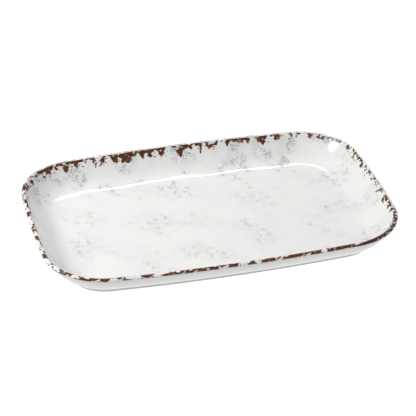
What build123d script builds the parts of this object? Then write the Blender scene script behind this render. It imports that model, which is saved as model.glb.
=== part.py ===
from build123d import *
from math import cos, degrees, radians, sin, sqrt
import os

# Oblong china serving platter: a shallow flared dish with a rounded lip and a low foot ring.
#
# The frame has +Z up, X along the length and Y along the width. The origin is on the surface that
# the platter stands on, under its middle. Lengths are in millimetres and angles in degrees.
#
# Every piece has one section, which is carried round the rim outline. In a section, x is the distance
# from the outermost edge of the lip, negative towards the middle of the dish, and y is the height.

# Overall size
LENGTH = 380.0
WIDTH = 257.0
HEIGHT = 32.0

# Rim outline from above: four gently bowed sides joined by round corners
CORNER_RADIUS = 66.0
LONG_SIDE_BOW = 10.0
SHORT_SIDE_BOW = 5.5

# Section of the dish, with its coats
WALL = 4.8
FLOOR = 4.6
WALL_CURVE_RADIUS = 85.0  # outer face of the flared wall
LIP_SLOPE = 57.0  # steepness of the wall where it meets the lip
FLOOR_FILLET = 32.0  # where the inside of the wall runs into the flat floor

# Foot ring
FOOT_HEIGHT = 2.5
FOOT_WIDTH = 5.0
FOOT_ROUNDING = 1.0

# Coats on the clay
GLAZE = 0.4
DRY_FOOT = 1.1  # the bottom of the foot, which the glaze leaves bare
BAND_DROP = 9.0  # how far the brown band runs down the inside of the wall

# Room left outside the lip when the coats are divided
CLEAR = 10.0

# Distance from the lip at which the carried sections end and the flat middle begins
FLAT_INSET = 48.0

# Heights in the section, from the surface that the foot stands on
CLAY_BOTTOM = FOOT_HEIGHT + GLAZE
FLOOR_TOP = FOOT_HEIGHT + FLOOR
CLAY_TOP = FLOOR_TOP - GLAZE
MID_FLOOR = (CLAY_BOTTOM + CLAY_TOP) / 2

# The lip is a half round, and the wall runs into it on arcs about one centre inside the dish
LIP_RADIUS = WALL / 2
LIP_CENTRE = Vector(-LIP_RADIUS, HEIGHT - LIP_RADIUS)
ALONG_WALL = Vector(cos(radians(LIP_SLOPE)), sin(radians(LIP_SLOPE)))
ACROSS_WALL = Vector(-ALONG_WALL.Y, ALONG_WALL.X)
MID_CURVE_RADIUS = WALL_CURVE_RADIUS - LIP_RADIUS
CURVE_CENTRE = LIP_CENTRE + ACROSS_WALL * MID_CURVE_RADIUS
OUTER_CLAY_RADIUS = WALL_CURVE_RADIUS - GLAZE
INNER_CLAY_RADIUS = WALL_CURVE_RADIUS - WALL + GLAZE
LIP_CLAY_RADIUS = LIP_RADIUS - GLAZE


def on_curve(radius, height):
    """The point at this height on the arc of this radius about the wall's centre."""
    drop = CURVE_CENTRE.Y - height
    return Vector(CURVE_CENTRE.X + sqrt(radius**2 - drop**2), height)


FOOT_OUTSIDE = on_curve(OUTER_CLAY_RADIUS, CLAY_BOTTOM)
FOOT_MIDDLE = FOOT_OUTSIDE.X - FOOT_WIDTH / 2


def carry_round(section):
    """Turns a section about the centre of each arc of the rim outline, which carries it all round."""
    up = Vector(0, 0, 1)
    for arc in rim_outline.sketch.edges():
        outward = (arc @ 0) - arc.arc_center
        forwards = (arc % 0).dot(up.cross(outward)) > 0
        with BuildSketch(Plane(arc.arc_center, x_dir=outward, z_dir=outward.cross(up))) as placed:
            with Locations((outward.length, 0)):
                add(section)
        revolve(
            placed.sketch,
            axis=Axis(arc.arc_center, up if forwards else -up),
            revolution_arc=degrees(arc.length / arc.radius),
        )


def fill_middle(low, high):
    """Adds the flat plate between two heights that fills the middle of the dish."""
    with BuildSketch(Plane.XY.offset(low)) as placed:
        add(rim_outline.sketch)
        offset(amount=-FLAT_INSET, mode=Mode.REPLACE)
    extrude(placed.sketch, amount=high - low)


# Outline of the platter at the outermost edge of its lip
corner_x = LENGTH / 2 - SHORT_SIDE_BOW
corner_y = WIDTH / 2 - LONG_SIDE_BOW
with BuildSketch() as rim_outline:
    with BuildLine():
        SagittaArc((-corner_x, -corner_y), (corner_x, -corner_y), -LONG_SIDE_BOW)
        SagittaArc((corner_x, -corner_y), (corner_x, corner_y), -SHORT_SIDE_BOW)
        SagittaArc((corner_x, corner_y), (-corner_x, corner_y), -LONG_SIDE_BOW)
        SagittaArc((-corner_x, corner_y), (-corner_x, -corner_y), -SHORT_SIDE_BOW)
    make_face()
    fillet(rim_outline.vertices(), CORNER_RADIUS)

# Section of the fired clay: floor, flared wall and rounded lip
lip_outside = LIP_CENTRE - ACROSS_WALL * LIP_CLAY_RADIUS
lip_inside = LIP_CENTRE + ACROSS_WALL * LIP_CLAY_RADIUS
floor_edge = on_curve(INNER_CLAY_RADIUS, CLAY_TOP)
with BuildSketch() as clay_section:
    with BuildLine():
        RadiusArc(FOOT_OUTSIDE, lip_outside, -OUTER_CLAY_RADIUS)
        ThreePointArc(lip_outside, LIP_CENTRE + ALONG_WALL * LIP_CLAY_RADIUS, lip_inside)
        RadiusArc(lip_inside, floor_edge, INNER_CLAY_RADIUS)
        Polyline(floor_edge, (-FLAT_INSET, CLAY_TOP), (-FLAT_INSET, CLAY_BOTTOM), FOOT_OUTSIDE)
    make_face()
    junction = clay_section.vertices().sort_by_distance(floor_edge)[0]
    fillet(junction, FLOOR_FILLET + GLAZE)

# Section of the foot ring, rounded where it stands
with BuildSketch() as foot_section:
    with Locations((FOOT_OUTSIDE.X, 0)):
        Rectangle(FOOT_WIDTH, CLAY_BOTTOM, align=(Align.MAX, Align.MIN))
    fillet(foot_section.vertices().group_by(Axis.Y)[0], FOOT_ROUNDING)

# Section of everything that lies on the clay, before it is divided into the separate coats
with BuildSketch() as coat_section:
    add(clay_section.sketch)
    add(foot_section.sketch)
    offset(amount=GLAZE, mode=Mode.REPLACE)
    add(clay_section.sketch, mode=Mode.SUBTRACT)
    add(foot_section.sketch, mode=Mode.SUBTRACT)

# Corners of the lines that divide the coats inside the clay, and of one over the band's lower edge
band_line = (on_curve(WALL_CURVE_RADIUS - WALL, HEIGHT - BAND_DROP) - CURVE_CENTRE).normalized()
under_band = CURVE_CENTRE + band_line * MID_CURVE_RADIUS
over_band = under_band - band_line * WALL
under_floor = on_curve(MID_CURVE_RADIUS, MID_FLOOR)

# Brown band, from the outermost edge of the lip over its crest to a line on the inside wall
with BuildSketch() as band_section:
    add(coat_section.sketch)
    with BuildLine():
        Polyline(
            LIP_CENTRE,
            (CLEAR, LIP_CENTRE.Y),
            (CLEAR, HEIGHT + CLEAR),
            (over_band.X, HEIGHT + CLEAR),
            over_band,
            under_band,
            close=True,
        )
    make_face(mode=Mode.INTERSECT)

# Inside glaze, from the band down the wall and across the floor
with BuildSketch() as inner_section:
    add(coat_section.sketch)
    with BuildLine():
        RadiusArc(under_floor, under_band, -MID_CURVE_RADIUS)
        Polyline(
            under_band,
            over_band,
            (-FLAT_INSET, over_band.Y),
            (-FLAT_INSET, MID_FLOOR),
            under_floor,
        )
    make_face(mode=Mode.INTERSECT)

# Outside glaze, from the outermost edge of the lip down to the bare bottom of the foot
with BuildSketch() as outer_section:
    add(coat_section.sketch)
    with BuildLine():
        RadiusArc(under_floor, LIP_CENTRE, -MID_CURVE_RADIUS)
        Polyline(
            LIP_CENTRE,
            (CLEAR, LIP_CENTRE.Y),
            (CLEAR, DRY_FOOT),
            (FOOT_MIDDLE, DRY_FOOT),
            (FOOT_MIDDLE, MID_FLOOR),
            under_floor,
        )
    make_face(mode=Mode.INTERSECT)

# Underside glaze, inside the foot ring
with BuildSketch() as underside_section:
    add(coat_section.sketch)
    with Locations((FOOT_MIDDLE, DRY_FOOT)):
        Rectangle(
            FOOT_MIDDLE + FLAT_INSET,
            MID_FLOOR - DRY_FOOT,
            align=(Align.MAX, Align.MIN),
            mode=Mode.INTERSECT,
        )

# Fired clay dish under the coats
with BuildPart() as clay_body:
    carry_round(clay_section.sketch)
    fill_middle(CLAY_BOTTOM, CLAY_TOP)
clay_body.part.label = "clay_body"

# Ring that the platter stands on, bare at the bottom
with BuildPart() as foot_ring:
    carry_round(foot_section.sketch)
foot_ring.part.label = "foot_ring"

# Brown slip round the lip
with BuildPart() as rim_band:
    carry_round(band_section.sketch)
rim_band.part.label = "rim_band"

# White glaze on the inside of the dish
with BuildPart() as inner_glaze:
    carry_round(inner_section.sketch)
    fill_middle(CLAY_TOP, FLOOR_TOP)
inner_glaze.part.label = "inner_glaze"

# White glaze on the outside of the wall and of the foot ring, from under the lip
with BuildPart() as outer_glaze:
    carry_round(outer_section.sketch)
outer_glaze.part.label = "outer_glaze"

# White glaze on the bottom of the dish, within the foot ring
with BuildPart() as underside_glaze:
    carry_round(underside_section.sketch)
    fill_middle(FOOT_HEIGHT, CLAY_BOTTOM)
underside_glaze.part.label = "underside_glaze"

os.makedirs("parts", exist_ok=True)
export_step(clay_body.part, "parts/clay_body.step")
export_step(foot_ring.part, "parts/foot_ring.step")
export_step(rim_band.part, "parts/rim_band.step")
export_step(inner_glaze.part, "parts/inner_glaze.step")
export_step(outer_glaze.part, "parts/outer_glaze.step")
export_step(underside_glaze.part, "parts/underside_glaze.step")
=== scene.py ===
import math
from collections import namedtuple
import bmesh
import bpy
import numpy as np
from mathutils import Matrix, Vector


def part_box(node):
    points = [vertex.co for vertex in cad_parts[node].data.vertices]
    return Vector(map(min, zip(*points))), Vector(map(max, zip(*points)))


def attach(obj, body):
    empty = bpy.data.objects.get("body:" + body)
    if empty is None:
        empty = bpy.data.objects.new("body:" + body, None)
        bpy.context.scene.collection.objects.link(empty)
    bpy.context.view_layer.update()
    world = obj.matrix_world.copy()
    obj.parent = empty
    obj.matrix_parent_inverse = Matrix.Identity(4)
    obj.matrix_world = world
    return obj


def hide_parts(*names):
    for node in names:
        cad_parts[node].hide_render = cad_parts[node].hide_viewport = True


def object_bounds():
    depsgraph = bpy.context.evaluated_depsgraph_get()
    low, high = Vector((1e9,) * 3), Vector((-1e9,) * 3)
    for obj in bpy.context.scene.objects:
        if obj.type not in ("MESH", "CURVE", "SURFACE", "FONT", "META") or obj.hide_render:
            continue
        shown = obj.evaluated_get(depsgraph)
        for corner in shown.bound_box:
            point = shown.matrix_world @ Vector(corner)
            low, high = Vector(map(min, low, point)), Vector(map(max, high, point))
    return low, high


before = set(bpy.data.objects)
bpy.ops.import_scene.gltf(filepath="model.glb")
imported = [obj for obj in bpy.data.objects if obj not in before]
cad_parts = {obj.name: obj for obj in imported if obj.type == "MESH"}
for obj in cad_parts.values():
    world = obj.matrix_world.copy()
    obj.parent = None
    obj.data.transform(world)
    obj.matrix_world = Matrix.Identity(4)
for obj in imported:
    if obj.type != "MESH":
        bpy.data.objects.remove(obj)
cad_box = [list(corner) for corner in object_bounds()]

# Oblong china platter: the glazes and the worn brown band are laid on the packed clay body. Lengths are
# in metres, unless a comment says millimetres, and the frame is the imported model's.

MM = 0.001

# Overall size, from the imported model
LENGTH = cad_box[1][0] - cad_box[0][0]
WIDTH = cad_box[1][1] - cad_box[0][1]
HEIGHT = cad_box[1][2]

# The rim outline and the section, as the design has them
CORNER_RADIUS = 0.066
LONG_SIDE_BOW = 0.010
SHORT_SIDE_BOW = 0.0055
GLAZE = 0.0004
WALL = 0.0048
OUTER_WALL_RADIUS = 0.085
LIP_SLOPE = math.radians(57.0)
FLOOR_FILLET = 0.032
FLAT_INSET = 0.048
FOOT_WIDTH = 0.005

# Bends of the glaze where it runs over the foot, outside and within the ring
OUTER_BEND = 0.0015
OUTER_BEND_SQUASH = 0.9  # height of that bend as a share of its width
INNER_BEND = 0.001

# Heights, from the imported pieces
FLOOR_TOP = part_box("inner_glaze")[0].z + GLAZE
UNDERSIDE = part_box("underside_glaze")[1].z - GLAZE
DRY_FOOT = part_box("outer_glaze")[0].z

# How finely the meshes are divided
COLUMNS = 1140  # round the rim, about one to a millimetre
CENTRE_RINGS = 26  # from the edge of the flat middle to its centre
BAND_ROWS = 26
FINE_ROWS = 12  # on the wall just below the band, where the brown still reaches
FINE_REACH = 0.010
COARSE_ROWS = 22  # from there to the edge of the flat middle
LIP_ROWS = 8
WALL_ROWS = 24
BEND_ROWS = 6

# The hidden side of a glaze has fewer rows: one for every so many on the side that shows
BAND_SKIP = 4
WALL_SKIP = 3
CENTRE_SKIP = 6

LIP_RADIUS = WALL / 2
INNER_WALL_RADIUS = OUTER_WALL_RADIUS - WALL
LIP_HEIGHT = HEIGHT - LIP_RADIUS
MID_WALL_RADIUS = OUTER_WALL_RADIUS - LIP_RADIUS
CURVE_INSET = LIP_RADIUS + MID_WALL_RADIUS * math.sin(LIP_SLOPE)
CURVE_HEIGHT = LIP_HEIGHT + MID_WALL_RADIUS * math.cos(LIP_SLOPE)
FILLET_HEIGHT = FLOOR_TOP + FLOOR_FILLET
FILLET_TILT = math.acos((CURVE_HEIGHT - FILLET_HEIGHT) / (INNER_WALL_RADIUS - FLOOR_FILLET))
FILLET_INSET = CURVE_INSET - (INNER_WALL_RADIUS - FLOOR_FILLET) * math.sin(FILLET_TILT)

# Distances along the inside surface, from the crest of the lip
OUTERMOST = -LIP_RADIUS * math.pi / 2
LIP_END = LIP_RADIUS * LIP_SLOPE
WALL_END = LIP_END + INNER_WALL_RADIUS * (LIP_SLOPE - FILLET_TILT)
FLOOR_START = WALL_END + FLOOR_FILLET * FILLET_TILT
FLOOR_END = FLOOR_START + FLAT_INSET - FILLET_INSET
BAND_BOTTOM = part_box("rim_band")[0].z
BAND_TILT = math.acos((CURVE_HEIGHT - BAND_BOTTOM) / INNER_WALL_RADIUS)
BAND_END = LIP_END + INNER_WALL_RADIUS * (LIP_SLOPE - BAND_TILT)

# Wear of the brown band: for each stretch of the rim, counter-clockwise from the middle of the front, how
# much of the edge is brown and how far the brown runs down the inside
WEAR = (
    ("front, to the right", 0.70, 0.0012),
    ("front right corner", 0.95, 0.0055),
    ("right", 0.55, 0.0055),
    ("back right corner", 0.68, 0.0045),
    ("back, to the right", 0.70, 0.0070),
    ("back, to the left", 0.78, 0.0090),
    ("back left corner", 0.62, 0.0060),
    ("left", 0.42, 0.0025),
    ("front left corner", 0.50, 0.0015),
    ("front, to the left", 0.58, 0.0006),
)

# Camera, at the angle from which the dish is seen
VIEW_AZIMUTH = math.radians(-14.85)
VIEW_ELEVATION = math.radians(31.19)
VIEW_DISTANCE = 1.9397
VIEW_RAISED = 0.01918
VIEW_ASIDE = 0.0005
VIEW_LENS = 157.23  # millimetres, as is the sensor's width
SENSOR = 36.0
FARTHEST_SEEN = 50.0


Arc = namedtuple("Arc", "centre_x centre_y radius first last")


def quarter_outline():
    """The three arcs of a quarter of the rim: the short side, the corner and the long side."""
    half_x = LENGTH / 2 - SHORT_SIDE_BOW
    half_y = WIDTH / 2 - LONG_SIDE_BOW
    long_radius = (half_x**2 + LONG_SIDE_BOW**2) / (2 * LONG_SIDE_BOW)
    short_radius = (half_y**2 + SHORT_SIDE_BOW**2) / (2 * SHORT_SIDE_BOW)
    long_y = WIDTH / 2 - long_radius
    short_x = LENGTH / 2 - short_radius
    long_reach = long_radius - CORNER_RADIUS
    short_reach = short_radius - CORNER_RADIUS
    between = math.hypot(short_x, long_y)
    along = (long_reach**2 - short_reach**2 + between**2) / (2 * between)
    across = math.sqrt(long_reach**2 - along**2)
    step_x = short_x / between
    step_y = -long_y / between
    corner_x = step_x * along + step_y * across
    corner_y = long_y + step_y * along - step_x * across
    near = math.atan2(corner_y, corner_x - short_x)
    far = math.atan2(corner_y - long_y, corner_x)
    return (
        Arc(short_x, 0.0, short_radius, 0.0, near),
        Arc(corner_x, corner_y, CORNER_RADIUS, near, far),
        Arc(0.0, long_y, long_radius, far, math.pi / 2),
    )


QUARTER = quarter_outline()
ARC_LENGTHS = [arc.radius * (arc.last - arc.first) for arc in QUARTER]
QUARTER_LENGTH = sum(ARC_LENGTHS)
RIM_LENGTH = 4 * QUARTER_LENGTH
ROUNDING = 1e-12  # room for rounding where one arc ends and the next begins


def rim_at(around):
    """Points of the rim outline and their outward directions, at distances from the middle of the front."""
    around = np.mod(around, RIM_LENGTH)
    quarter = np.floor(around / QUARTER_LENGTH).astype(int)
    left = around - quarter * QUARTER_LENGTH
    from_side = np.where(quarter % 2 == 0, QUARTER_LENGTH - left, left)
    x, y, angle = (np.zeros_like(around) for _ in range(3))
    start = 0.0
    for arc, length in zip(QUARTER, ARC_LENGTHS):
        end = start + length
        here = (from_side >= start) & (from_side <= end + ROUNDING)
        turned = arc.first + (from_side - start) / arc.radius
        x = np.where(here, arc.centre_x + arc.radius * np.cos(turned), x)
        y = np.where(here, arc.centre_y + arc.radius * np.sin(turned), y)
        angle = np.where(here, turned, angle)
        start = end
    side_x = np.where(quarter < 2, 1.0, -1.0)
    side_y = np.where((quarter == 1) | (quarter == 2), 1.0, -1.0)
    return x * side_x, y * side_y, np.cos(angle) * side_x, np.sin(angle) * side_y


AROUND = np.arange(COLUMNS) * RIM_LENGTH / COLUMNS
RIM_X, RIM_Y, OUT_X, OUT_Y = rim_at(AROUND)


def inside_section(along, lift):
    """Inset and height of the inside surface at a distance from the crest, raised off it by a lift."""
    if along < LIP_END:
        tilt = along / LIP_RADIUS
        inset = LIP_RADIUS + LIP_RADIUS * math.sin(tilt)
        height = LIP_HEIGHT + LIP_RADIUS * math.cos(tilt)
    elif along < WALL_END:
        tilt = LIP_SLOPE - (along - LIP_END) / INNER_WALL_RADIUS
        inset = CURVE_INSET - INNER_WALL_RADIUS * math.sin(tilt)
        height = CURVE_HEIGHT - INNER_WALL_RADIUS * math.cos(tilt)
    elif along < FLOOR_START:
        tilt = FILLET_TILT - (along - WALL_END) / FLOOR_FILLET
        inset = FILLET_INSET - FLOOR_FILLET * math.sin(tilt)
        height = FILLET_HEIGHT - FLOOR_FILLET * math.cos(tilt)
    else:
        tilt = 0.0
        inset = FILLET_INSET + along - FLOOR_START
        height = FLOOR_TOP
    return inset + lift * math.sin(tilt), height + lift * math.cos(tilt)


def ring(inset, height):
    """One closed row of points that follows the rim at an inset."""
    return np.stack([RIM_X - inset * OUT_X, RIM_Y - inset * OUT_Y, np.zeros(COLUMNS) + height], axis=1)


def smooth_step(low, high, value):
    """From 0 below the low value to 1 above the high one, level at both."""
    share = np.clip((value - low) / (high - low), 0.0, 1.0)
    return share * share * (3.0 - 2.0 * share)


def waves(x, y, wavelength, count, seed):
    """A smooth wavering about zero, seldom past 1.5 either way, and the same each run."""
    chance = np.random.default_rng(seed)
    total = np.zeros_like(x)
    for _ in range(count):
        turn = chance.uniform(0.0, 2.0 * math.pi)
        length = wavelength * chance.uniform(0.7, 1.5)
        phase = chance.uniform(0.0, 2.0 * math.pi)
        total += np.sin((x * math.cos(turn) + y * math.sin(turn)) * 2.0 * math.pi / length + phase)
    return total / math.sqrt(count)


# The fired glaze isn't quite even: it stands up to 0.9 mm proud where wall and floor meet
RIPPLE = 0.00030
RIPPLE_SWING = 1.5  # most that the wavering counts either way, as a multiple of it
FLOOR_RIPPLE = 0.25  # share of it that is left on the flat floor
RIPPLE_LENGTH = 0.040
RIPPLE_START = LIP_END + 0.008
RIPPLE_FALL = (FLOOR_START - 0.004, FLOOR_START + 0.012)


def ripple(points, along):
    """How far the glaze stands proud at the points of one row."""
    rise = smooth_step(RIPPLE_START, WALL_END, along)
    fall = smooth_step(*RIPPLE_FALL, along)
    weight = rise * (1.0 - (1.0 - FLOOR_RIPPLE) * fall)
    wavering = waves(points[:, 0], points[:, 1], RIPPLE_LENGTH, count=7, seed=4)
    return weight * RIPPLE * (RIPPLE_SWING + np.clip(wavering, -RIPPLE_SWING, RIPPLE_SWING))


# The band sits a little towards the front left. There it starts at the outermost edge of the lip, and where
# the lip faces away from there it starts inside the crest.
LEAN_X = -0.3
LEAN_Y = -0.95
LEANS = (-0.95, -0.3, 0.1)  # how far the lip faces that way, from away to towards
LIMITS = (1.6 * MM, 0.3 * MM, OUTERMOST)  # where the brown starts for each, as a distance from the crest


def brown_limit():
    """Where the brown starts on the lip, at each column."""
    lean = LEAN_X * OUT_X + LEAN_Y * OUT_Y
    return np.interp(lean, LEANS, LIMITS)


def wear_around():
    """How much of the edge is brown and how far it runs down in millimetres, blended between stretches."""
    half_side, corner, half_front = ARC_LENGTHS
    lengths = np.array([half_front, corner, 2 * half_side, corner, half_front] * 2)
    middles = np.cumsum(lengths) - lengths / 2
    cover = np.interp(AROUND, middles, [row[1] for row in WEAR], period=RIM_LENGTH)
    reach = np.interp(AROUND, middles, [row[2] for row in WEAR], period=RIM_LENGTH)
    return cover, reach / MM


# Shape of the wear, and of the thin line past the crest that is partly painted shade. Wavelengths, depths
# and amounts are in millimetres.
NO_BROWN = -4.0  # the amount where there is none
COVER_WEIGHT = 3.2  # how strongly the share of the edge that is brown weighs against the gaps
GAP_EDGE = 1.4  # steepness of the edge of a gap
RUN_SHARE = 0.65  # how much the depth of the runs varies
LEAST_RUN = 0.4  # added to the depth of every run
BIT_RARITY = 1.2  # the more it is, the fewer loose bits there are
BIT_EDGE = 1.6  # steepness of the edge of a loose bit
BIT_MARGIN = 4.0  # added to the depth of the runs, to give the depth that the loose bits reach
BIT_FADE = 4.0  # how strongly they die out below that
MOST_BROWN = 1.2  # the less it is, the more white flecks are left inside the brown
MORE_FLECKS = 0.7  # taken off it at the right
LIMIT_EDGE = 0.4  # room over which the brown starts
# The thin line past the crest is brown slip along the edge, and painted shade of the lip's far side.
SHADE_LINE_PLACE = -0.9  # the thin edge past the crest, as a distance from it
SHADE_LINE_DROP = 1.5  # how much further out that edge lies at the right
SHADE_LINE_HALF = 0.8  # half its width


def brown_amount(along):
    """Above zero where the white is worn off the brown, and along a thin line past the crest that is brown
    slip and painted shade of the lip's far side, in millimetres from the edge of the patch.
    """
    around = AROUND / MM
    across = along / MM
    level = np.full(COLUMNS, across)
    flat = np.zeros(COLUMNS)
    cover, reach = wear_around()
    # Gaps along the edge, which are narrow where little white is left. A pattern is drawn out down the wall
    # where its level is multiplied by less than 1, and squeezed where it is multiplied by more.
    wide_gaps = waves(around, 0.3 * level, wavelength=15.0, count=9, seed=41)
    narrow_gaps = waves(around, 0.6 * level, wavelength=5.5, count=9, seed=42)
    gaps = 0.7 * wide_gaps + 0.7 * narrow_gaps
    beside = ((cover - 0.5) * COVER_WEIGHT - gaps) * GAP_EDGE
    # Runs of uneven depth
    wide_runs = waves(around, flat, wavelength=15.0, count=9, seed=43)
    narrow_runs = waves(around, flat, wavelength=6.0, count=9, seed=44)
    runs = 0.85 * wide_runs + 0.35 * narrow_runs
    within = reach * (1.0 + RUN_SHARE * runs) + LEAST_RUN - level
    # Loose bits lower down
    bits = (waves(around, 1.3 * level, wavelength=5.0, count=11, seed=45) - BIT_RARITY) * BIT_EDGE
    bits -= smooth_step(0.8, 1.8, level / (reach + BIT_MARGIN)) * BIT_FADE
    amount = np.maximum(np.minimum(beside, within), bits)
    # Ragged edges, and white flecks left inside
    broad_rags = waves(around, 1.3 * level, wavelength=7.0, count=9, seed=21)
    fine_rags = waves(around, 1.2 * level, wavelength=3.1, count=9, seed=22)
    ragged = 0.55 * broad_rags + 0.5 * fine_rags
    most = MOST_BROWN - MORE_FLECKS * smooth_step(0.3, 0.7, OUT_X)
    past_limit = (across - brown_limit() / MM) / LIMIT_EDGE
    amount = np.minimum(np.clip(amount, NO_BROWN, most) + ragged, past_limit)
    # The thin dark edge that shows past the crest, away from the front and the left: brown slip along the
    # lip's edge, and painted shade of its far side
    hidden = smooth_step(0.1, 0.4, -OUT_Y) + smooth_step(0.8, 0.95, -OUT_X)
    centre = SHADE_LINE_PLACE - SHADE_LINE_DROP * smooth_step(0.2, 0.9, OUT_X)
    line = SHADE_LINE_HALF - abs(across - centre) - 2.5 * hidden + 0.6 * ragged
    return np.maximum(amount, line)


def speck_amount(points):
    """How thick the clouds of grey specks are, from 0 to 1. They lie along the dish and are thicker on
    the back wall."""
    x = points[:, 0] / MM
    y = points[:, 1] / MM
    broad = waves(0.7 * x, y, wavelength=48.0, count=11, seed=51)
    small = waves(0.8 * x, y, wavelength=21.0, count=9, seed=52)
    clouds = broad + 0.5 * small
    to_back = smooth_step(0.5, 0.85, points[:, 1] * 2 / WIDTH)
    thick = 0.56 + 0.68 * to_back
    broken = 1.0 + 0.45 * waves(x, y, wavelength=11.0, count=7, seed=31)
    return np.clip(smooth_step(-0.7, 1.4, clouds) * thick * broken, 0.0, 1.0)


SHARP = math.radians(50.0)  # an edge that turns more than this isn't smoothed


def build_mesh(name, rows, closed, values=None):
    """A shell through rows of points, each row once round the rim. A closed one joins its last row to its
    first, and otherwise those two are filled in to their middles. It carries the values at its points."""
    count = len(rows)
    points = np.concatenate(rows)
    quads = []
    index = np.arange(COLUMNS)
    after = np.roll(index, -1)
    for k in range(count if closed else count - 1):
        this, that = k * COLUMNS, (k + 1) % count * COLUMNS
        quads.append(np.stack([this + index, this + after, that + after, that + index], axis=1))
    faces = np.concatenate(quads).tolist()
    if not closed:
        for k in (0, count - 1):
            centre = len(points)
            points = np.vstack([points, rows[k].mean(axis=0)])
            start = k * COLUMNS
            faces += [[start + int(i), start + int(j), centre] for i, j in zip(index, after)]
    mesh = bpy.data.meshes.new(name)
    mesh.from_pydata(points.tolist(), [], faces)
    shape = bmesh.new()
    shape.from_mesh(mesh)
    bmesh.ops.recalc_face_normals(shape, faces=shape.faces)
    shape.to_mesh(mesh)
    shape.free()
    mesh.polygons.foreach_set("use_smooth", np.ones(len(mesh.polygons), dtype=bool))
    mesh.set_sharp_from_angle(angle=SHARP)
    for key, given in (values or {}).items():
        layer = mesh.attributes.new(key, "FLOAT", "POINT")
        extra = np.full(len(points) - len(given), given[-1])
        layer.data.foreach_set("value", np.concatenate([given, extra]).astype(np.float32))
    piece = bpy.data.objects.new(name, mesh)
    bpy.context.scene.collection.objects.link(piece)
    return piece


def to_centre(inset, height):
    """Rows that fill the flat middle of the dish, each a smaller copy of the row at its edge."""
    edge = ring(inset, height)
    rows = []
    for k in range(1, CENTRE_RINGS):
        scale = 1.0 - k / CENTRE_RINGS
        rows.append(edge * np.array([scale, scale, 1.0]))
    return rows


def inside_rows(steps, lift):
    """Rows of the inside surface at distances from the crest, raised off it by a lift."""
    return [ring(*inside_section(along, lift)) for along in steps]


def raise_up(row, along):
    """A row lifted by the ripple of the glaze."""
    lifted = row.copy()
    lifted[:, 2] += ripple(row, along)
    return lifted


def worn_band():
    """The brown slip round the lip and the white over it, down to the band's lower line."""
    steps = np.linspace(OUTERMOST, BAND_END, BAND_ROWS)
    top = inside_rows(steps, 0.0)
    under = inside_rows(steps[::-BAND_SKIP], -GLAZE)
    hidden = np.full(len(under) * COLUMNS, NO_BROWN)
    brown = np.concatenate([brown_amount(along) for along in steps] + [hidden])
    specks = np.concatenate([speck_amount(row) for row in top + under])
    return build_mesh("worn_band", top + under, True, {"brown": brown, "specks": specks})


def inside_glaze():
    """The white glaze from the band's lower line down the wall and across the floor."""
    fine = np.linspace(BAND_END, BAND_END + FINE_REACH, FINE_ROWS)
    coarse = np.linspace(fine[-1], FLOOR_END, COARSE_ROWS)[1:]
    steps = np.concatenate([fine, coarse])
    top = [raise_up(ring(*inside_section(along, 0.0)), along) for along in steps]
    middle = [raise_up(row, FLOOR_END) for row in to_centre(FLAT_INSET, FLOOR_TOP)]
    under_steps = np.concatenate([fine[:1], coarse[::WALL_SKIP], [FLOOR_END]])
    under = inside_rows(under_steps, -GLAZE)
    under_middle = to_centre(FLAT_INSET, FLOOR_TOP - GLAZE)[::CENTRE_SKIP]
    rows = middle[::-1] + top[::-1] + under + under_middle
    brown = np.full(len(rows) * COLUMNS, NO_BROWN)
    first = len(middle)
    for k, along in enumerate(steps[::-1]):
        if along <= fine[-1]:
            brown[(first + k) * COLUMNS:(first + k + 1) * COLUMNS] = brown_amount(along)
    specks = np.concatenate([speck_amount(row) for row in rows])
    return build_mesh("crackle_glaze", rows, False, {"brown": brown, "specks": specks})


def foot_inset():
    """Inset of the foot's clay at its outer face."""
    return cad_box[1][0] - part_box("foot_ring")[1].x


def outside_section(lift):
    """Points of the outside, from the outermost edge of the lip down to the bare bottom of the foot."""
    points = []
    lip_reach = LIP_RADIUS + lift
    for tilt in np.linspace(-math.pi / 2, LIP_SLOPE - math.pi, LIP_ROWS)[:-1]:
        inset = LIP_RADIUS + lip_reach * math.sin(tilt)
        height = LIP_HEIGHT + lip_reach * math.cos(tilt)
        points.append((inset, height))
    foot_outside = foot_inset() - GLAZE - lift
    wall_reach = OUTER_WALL_RADIUS + lift
    last = math.asin((CURVE_INSET - foot_outside + OUTER_BEND) / wall_reach)
    for slope in np.linspace(LIP_SLOPE, last, WALL_ROWS):
        inset = CURVE_INSET - wall_reach * math.sin(slope)
        height = CURVE_HEIGHT - wall_reach * math.cos(slope)
        points.append((inset, height))
    wall_inset, wall_height = points[-1]
    for share in np.linspace(0.2, 1.0, BEND_ROWS):
        turn = share * math.pi / 2
        drop = OUTER_BEND * (1.0 - math.cos(turn)) * OUTER_BEND_SQUASH
        points.append((wall_inset + OUTER_BEND * math.sin(turn), wall_height - drop))
    points.append((foot_outside, DRY_FOOT))
    return points


def outside_glaze():
    """The white glaze of the outside of the wall and the foot, under the lip."""
    outer = outside_section(0.0)
    inner = outside_section(-GLAZE)
    rows = [ring(inset, height) for inset, height in outer + inner[::-1]]
    return build_mesh("outer_skin", rows, True)


def underside():
    """The white glaze of the bottom, within the foot."""
    face = foot_inset() + FOOT_WIDTH + GLAZE
    lower = [(face, DRY_FOOT)]
    for turn in np.linspace(0.0, math.pi / 2, BEND_ROWS):
        inset = face + INNER_BEND * (1.0 - math.cos(turn))
        height = UNDERSIDE - INNER_BEND + INNER_BEND * math.sin(turn)
        lower.append((inset, height))
    lower.append((FLAT_INSET, UNDERSIDE))
    upper = [(face - GLAZE, DRY_FOOT), (face - GLAZE, UNDERSIDE + GLAZE), (FLAT_INSET, UNDERSIDE + GLAZE)]
    rows = to_centre(FLAT_INSET, UNDERSIDE)[::-1]
    rows += [ring(*point) for point in lower[::-1] + upper]
    rows += to_centre(FLAT_INSET, UNDERSIDE + GLAZE)[::CENTRE_SKIP]
    return build_mesh("bottom_skin", rows, False)


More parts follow.
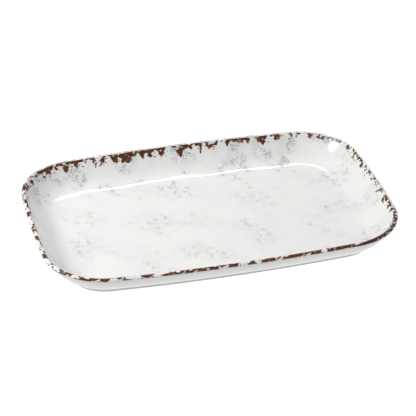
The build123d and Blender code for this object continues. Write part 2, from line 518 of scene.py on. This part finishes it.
class Nodes:
    """A material's nodes, with short ways to add and join them."""

    def __init__(self, name):
        self.material = bpy.data.materials.new(name)
        self.material.use_nodes = True
        self.tree = self.material.node_tree
        self.shader = self.tree.nodes["Principled BSDF"]
        self.place = self.add("ShaderNodeTexCoord").outputs["Object"]

    def add(self, kind, **settings):
        node = self.tree.nodes.new(kind)
        for key, value in settings.items():
            setattr(node, key, value)
        return node

    def join(self, source, target):
        self.tree.links.new(source, target)

    def noise(self, scale, detail=2.0, roughness=0.5):
        node = self.add("ShaderNodeTexNoise")
        node.inputs["Scale"].default_value = scale
        node.inputs["Detail"].default_value = detail
        node.inputs["Roughness"].default_value = roughness
        self.join(self.place, node.inputs["Vector"])
        return node.outputs["Fac"]

    def span(self, value, low, high, to_low=0.0, to_high=1.0):
        node = self.add("ShaderNodeMapRange", clamp=True)
        node.inputs["From Min"].default_value = low
        node.inputs["From Max"].default_value = high
        node.inputs["To Min"].default_value = to_low
        node.inputs["To Max"].default_value = to_high
        self.join(value, node.inputs["Value"])
        return node.outputs["Result"]

    def maths(self, operation, first, second):
        node = self.add("ShaderNodeMath", operation=operation)
        for socket, value in zip(node.inputs, (first, second)):
            if isinstance(value, (int, float)):
                socket.default_value = value
            else:
                self.join(value, socket)
        return node.outputs["Value"]

    def blend(self, share, first, second):
        # The sockets are given by number, because those for numbers and for colours share their names
        node = self.add("ShaderNodeMix", data_type="RGBA")
        for socket, value in zip(node.inputs[6:8], (first, second)):
            if isinstance(value, tuple):
                socket.default_value = (*value, 1.0)
            else:
                self.join(value, socket)
        self.join(share, node.inputs[0])
        return node.outputs[2]

    def axis(self, letter):
        node = self.add("ShaderNodeSeparateXYZ")
        self.join(self.place, node.inputs["Vector"])
        return node.outputs[letter]

    def attribute(self, name):
        return self.add("ShaderNodeAttribute", attribute_name=name).outputs["Fac"]

    def bump(self, height, strength, distance):
        node = self.add("ShaderNodeBump")
        node.inputs["Strength"].default_value = strength
        node.inputs["Distance"].default_value = distance
        self.join(height, node.inputs["Height"])
        self.join(node.outputs["Normal"], self.shader.inputs["Normal"])

    def colour(self, value):
        self.join(value, self.shader.inputs["Base Color"])

    def gloss(self, value):
        self.join(value, self.shader.inputs["Roughness"])


WHITE = (1.0, 1.0, 1.0, 1.0)
WARM_WHITE = (0.770, 0.766, 0.742)
COOL_WHITE = (0.742, 0.752, 0.754)
SPECK_GREY = (0.285, 0.305, 0.305)
BROWN = (0.128, 0.034, 0.006)
DARK_BROWN = (0.052, 0.013, 0.003)
TAN = (0.40, 0.25, 0.16)
# The outside colours are the same white glaze painted darker than the inside, as painted shade of the
# outside and the bottom, which face down. The third is darker still, as painted shade along the foot.
SHADED_OUTSIDE_WARM = (0.555, 0.567, 0.542)
SHADED_OUTSIDE_COOL = (0.525, 0.543, 0.532)
OUTSIDE_FOOT_SHADE = (0.49, 0.52, 0.50)
CLAY_BUFF = (0.66, 0.61, 0.53)
CLAY_PALE = (0.78, 0.74, 0.67)
CLAY_SOIL = (0.50, 0.43, 0.35)
FLOOR_DARK = (0.20, 0.20, 0.20)
FLOOR_LIGHT = (0.22, 0.22, 0.22)
GLAZE_IOR = 1.5
GLAZE_BUMP = 0.05
BUMP_DEPTH = 0.002

# Specks: the cells are counted to a metre, and the four sizes after them are shares of a cell
SPECK_CELLS = 440.0
SPECK_GROWTH = 0.52
SPECK_LEAST = 0.16
SPECK_CHANCE = 0.30
SPECK_EDGE = 0.06
SPECK_STRENGTH = 0.65
HAZE_STRENGTH = 0.15

# Brown slip where it shows
FRAY = 3.2  # millimetres over which a fine grain moves the edge of a patch
TAN_EDGE = 0.35  # millimetres of tan along it
CORNER_START = 0.19  # how far towards the front right corner it begins to darken
CORNER_END = 0.28
CORNER_STRENGTH = 0.85
BROWN_DULLNESS = 0.10  # added to the roughness
BROWN_SINK = -0.05  # added to the height of the bump


def speck_mask(nodes):
    """Small specks, at most one to a cell. Where a cloud is thick, they are larger and there are more."""
    cells = nodes.add("ShaderNodeTexVoronoi")
    cells.inputs["Scale"].default_value = SPECK_CELLS
    nodes.join(nodes.place, cells.inputs["Vector"])
    grown = nodes.maths("MULTIPLY", nodes.attribute("specks"), SPECK_GROWTH)
    chance = nodes.maths("MULTIPLY", nodes.noise(230.0, detail=2.0, roughness=0.6), SPECK_CHANCE)
    size = nodes.maths("ADD", nodes.maths("SUBTRACT", grown, SPECK_LEAST), chance)
    above = nodes.maths("SUBTRACT", size, cells.outputs["Distance"])
    return nodes.span(above, 0.0, SPECK_EDGE, to_high=SPECK_STRENGTH)


def brown_stain(nodes, edge):
    """The colour of the slip: mottled, darker towards the front right corner, and tan at its very edge."""
    stain = nodes.blend(nodes.span(nodes.noise(160.0, detail=3.0), 0.35, 0.7), BROWN, DARK_BROWN)
    to_corner = nodes.maths("SUBTRACT", nodes.axis("X"), nodes.axis("Y"))
    darkened = nodes.span(to_corner, CORNER_START, CORNER_END, to_high=CORNER_STRENGTH)
    stain = nodes.blend(darkened, stain, DARK_BROWN)
    return nodes.blend(nodes.span(edge, 0.0, TAN_EDGE), TAN, stain)


def china_material():
    """White glaze with clouds of grey specks, worn off the brown slip where the band shows."""
    nodes = Nodes("china_glaze")
    mottle = nodes.span(nodes.noise(22.0, detail=2.0), 0.35, 0.65)
    white = nodes.blend(mottle, WARM_WHITE, COOL_WHITE)
    haze = nodes.span(nodes.attribute("specks"), 0.0, 1.0, to_high=HAZE_STRENGTH)
    white = nodes.blend(haze, white, SPECK_GREY)
    white = nodes.blend(speck_mask(nodes), white, SPECK_GREY)
    fray = nodes.maths("SUBTRACT", nodes.noise(900.0, detail=3.0, roughness=0.65), 0.5)
    edge = nodes.maths("ADD", nodes.attribute("brown"), nodes.maths("MULTIPLY", fray, FRAY))
    shown = nodes.span(edge, -0.08, 0.10)
    nodes.colour(nodes.blend(shown, white, brown_stain(nodes, edge)))
    polish = nodes.span(nodes.noise(90.0, detail=2.0), 0.3, 0.7, to_low=0.045, to_high=0.075)
    nodes.gloss(nodes.maths("ADD", polish, nodes.maths("MULTIPLY", shown, BROWN_DULLNESS)))
    sunk = nodes.maths("MULTIPLY", shown, BROWN_SINK)
    nodes.bump(nodes.maths("ADD", nodes.noise(70.0, detail=2.0), sunk), GLAZE_BUMP, BUMP_DEPTH)
    nodes.shader.inputs["IOR"].default_value = GLAZE_IOR
    return nodes.material


def plain_glaze_material(name, foot_shade_below):
    """Plain white glaze, faintly clouded, for the outside and the bottom, painted darker than the inside as
    painted shade. Below a height it is painted greyer still, as painted shade along the foot.
    """
    nodes = Nodes(name)
    mottle = nodes.span(nodes.noise(30.0, detail=3.0), 0.3, 0.7)
    white = nodes.blend(mottle, SHADED_OUTSIDE_WARM, SHADED_OUTSIDE_COOL)
    foot_shade_start = foot_shade_below - 0.001
    foot_shade_end = foot_shade_below + 0.002
    # Painted shade: the colour turns greyer below the given height, along the foot.
    low = nodes.span(nodes.axis("Z"), foot_shade_start, foot_shade_end, to_low=1.0, to_high=0.0)
    white = nodes.blend(low, white, OUTSIDE_FOOT_SHADE)
    pits = nodes.span(nodes.noise(850.0, detail=2.0, roughness=0.6), 0.74, 0.80, to_high=0.4)
    nodes.colour(nodes.blend(pits, white, SPECK_GREY))
    nodes.gloss(nodes.span(nodes.noise(110.0, detail=2.0), 0.3, 0.7, to_low=0.09, to_high=0.15))
    nodes.bump(nodes.noise(60.0, detail=2.0), GLAZE_BUMP, BUMP_DEPTH)
    nodes.shader.inputs["IOR"].default_value = GLAZE_IOR
    return nodes.material


def biscuit_material():
    """Bare fired clay, matt and grainy."""
    nodes = Nodes("bare_clay")
    grain = nodes.span(nodes.noise(700.0, detail=4.0, roughness=0.65), 0.3, 0.7)
    clay = nodes.blend(grain, CLAY_BUFF, CLAY_PALE)
    soil = nodes.span(nodes.noise(45.0, detail=3.0), 0.5, 0.75, to_high=0.35)
    nodes.colour(nodes.blend(soil, clay, CLAY_SOIL))
    nodes.gloss(nodes.span(grain, 0.0, 1.0, to_low=0.72, to_high=0.9))
    nodes.bump(grain, strength=0.25, distance=0.0004)
    return nodes.material


def floor_material():
    """Pale sweep that the dish stands on. It gives off most of its own light, so that it comes out white."""
    nodes = Nodes("pale_floor")
    nodes.colour(nodes.blend(nodes.span(nodes.noise(1.5), 0.3, 0.7), FLOOR_DARK, FLOOR_LIGHT))
    nodes.shader.inputs["Roughness"].default_value = 0.9
    nodes.shader.inputs["Specular IOR Level"].default_value = 0.0
    nodes.shader.inputs["Emission Color"].default_value = WHITE
    nodes.shader.inputs["Emission Strength"].default_value = 0.95
    return nodes.material


FLOOR_REACH = 6.0


def add_floor():
    """The floor, a flat square under the dish that isn't part of it."""
    mesh = bpy.data.meshes.new("floor")
    signs = ((-1, -1), (1, -1), (1, 1), (-1, 1))
    corners = [(x * FLOOR_REACH, y * FLOOR_REACH, 0.0) for x, y in signs]
    mesh.from_pydata(corners, [], [(0, 1, 2, 3)])
    mesh.materials.append(floor_material())
    floor = bpy.data.objects.new("floor", mesh)
    bpy.context.scene.collection.objects.link(floor)


FULL_SPREAD = 180.0


def add_softbox(name, place, aim, width, height, radiance, spread=FULL_SPREAD, mirrored=True):
    """A soft rectangular light that faces its aim. Its radiance along its axis doesn't depend on its size
    or on its spread in degrees. It shows in reflections if it is mirrored."""
    light = bpy.data.lights.new(name, "AREA")
    light.shape = "RECTANGLE"
    light.size = width
    light.size_y = height
    light.energy = radiance * width * height * math.pi
    if spread < FULL_SPREAD:
        half = math.radians(spread) / 2
        light.spread = 2 * half
        light.energy *= 1.0 - half / math.tan(half)
    box = bpy.data.objects.new(name, light)
    bpy.context.scene.collection.objects.link(box)
    box.location = place
    box.visible_glossy = mirrored
    box.rotation_euler = (Vector(aim) - Vector(place)).to_track_quat("-Z", "Y").to_euler()


ROOM_LIGHT = 0.36


def add_lights():
    """A pale room, a strip behind and above, a window at the left and a wide soft light overhead."""
    world = bpy.data.worlds.new("studio")
    bpy.context.scene.world = world
    world.use_nodes = True
    room = world.node_tree.nodes["Background"]
    room.inputs["Color"].default_value = WHITE
    room.inputs["Strength"].default_value = ROOM_LIGHT
    add_softbox(
        "strip",
        place=(0.29, 1.10, 1.05),
        aim=(-0.02, 0.09, 0.0),
        width=0.52,
        height=0.20,
        radiance=14.0,
        spread=20.0,
    )
    add_softbox(
        "window",
        place=(-1.06, 0.20, 0.86),
        aim=(0.157, 0.09, 0.02),
        width=0.38,
        height=0.62,
        radiance=9.0,
    )
    add_softbox(
        "overhead",
        place=(-0.5, 0.0, 1.85),
        aim=(0.0, 0.0, 0.0),
        width=1.4,
        height=1.0,
        radiance=5.4,
        mirrored=False,
    )


def add_camera():
    """The camera at the viewing angle, aimed a little above the middle of the dish."""
    back = Vector((
        math.sin(VIEW_AZIMUTH) * math.cos(VIEW_ELEVATION),
        -math.cos(VIEW_AZIMUTH) * math.cos(VIEW_ELEVATION),
        math.sin(VIEW_ELEVATION),
    ))
    right = Vector((math.cos(VIEW_AZIMUTH), math.sin(VIEW_AZIMUTH), 0.0))
    up = back.cross(right)
    data = bpy.data.cameras.new("camera")
    data.sensor_width = SENSOR
    data.lens = VIEW_LENS
    data.clip_end = FARTHEST_SEEN
    camera = bpy.data.objects.new("camera", data)
    bpy.context.scene.collection.objects.link(camera)
    turned = Matrix((right, up, back)).transposed().to_4x4()
    place = back * VIEW_DISTANCE + right * VIEW_ASIDE + up * VIEW_RAISED
    camera.matrix_world = Matrix.Translation(place) @ turned
    bpy.context.scene.camera = camera


def dress(piece, material, slot, *nodes):
    """Gives a piece its material, and lets it stand for its CAD nodes. The slot is not used."""
    piece.data.materials.append(material)
    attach(piece, "root")
    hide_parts(*nodes)


bpy.context.scene.view_settings.view_transform = "Standard"
add_camera()
add_lights()
add_floor()

china = china_material()
# Painted shade on the outside below 3 mm, and none on the bottom
plain = plain_glaze_material("plain_glaze", foot_shade_below=0.003)
bottom = plain_glaze_material("bottom_glaze", foot_shade_below=0.0)
biscuit = biscuit_material()
dress(worn_band(), china, "brown_slip", "rim_band")
dress(inside_glaze(), china, "crackle_glaze", "inner_glaze")
dress(outside_glaze(), plain, "clear_glaze", "outer_glaze")
dress(underside(), bottom, "clear_glaze", "underside_glaze")
for name in ("clay_body", "foot_ring"):
    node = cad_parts[name]
    node.data.materials.clear()
    node.data.materials.append(biscuit)
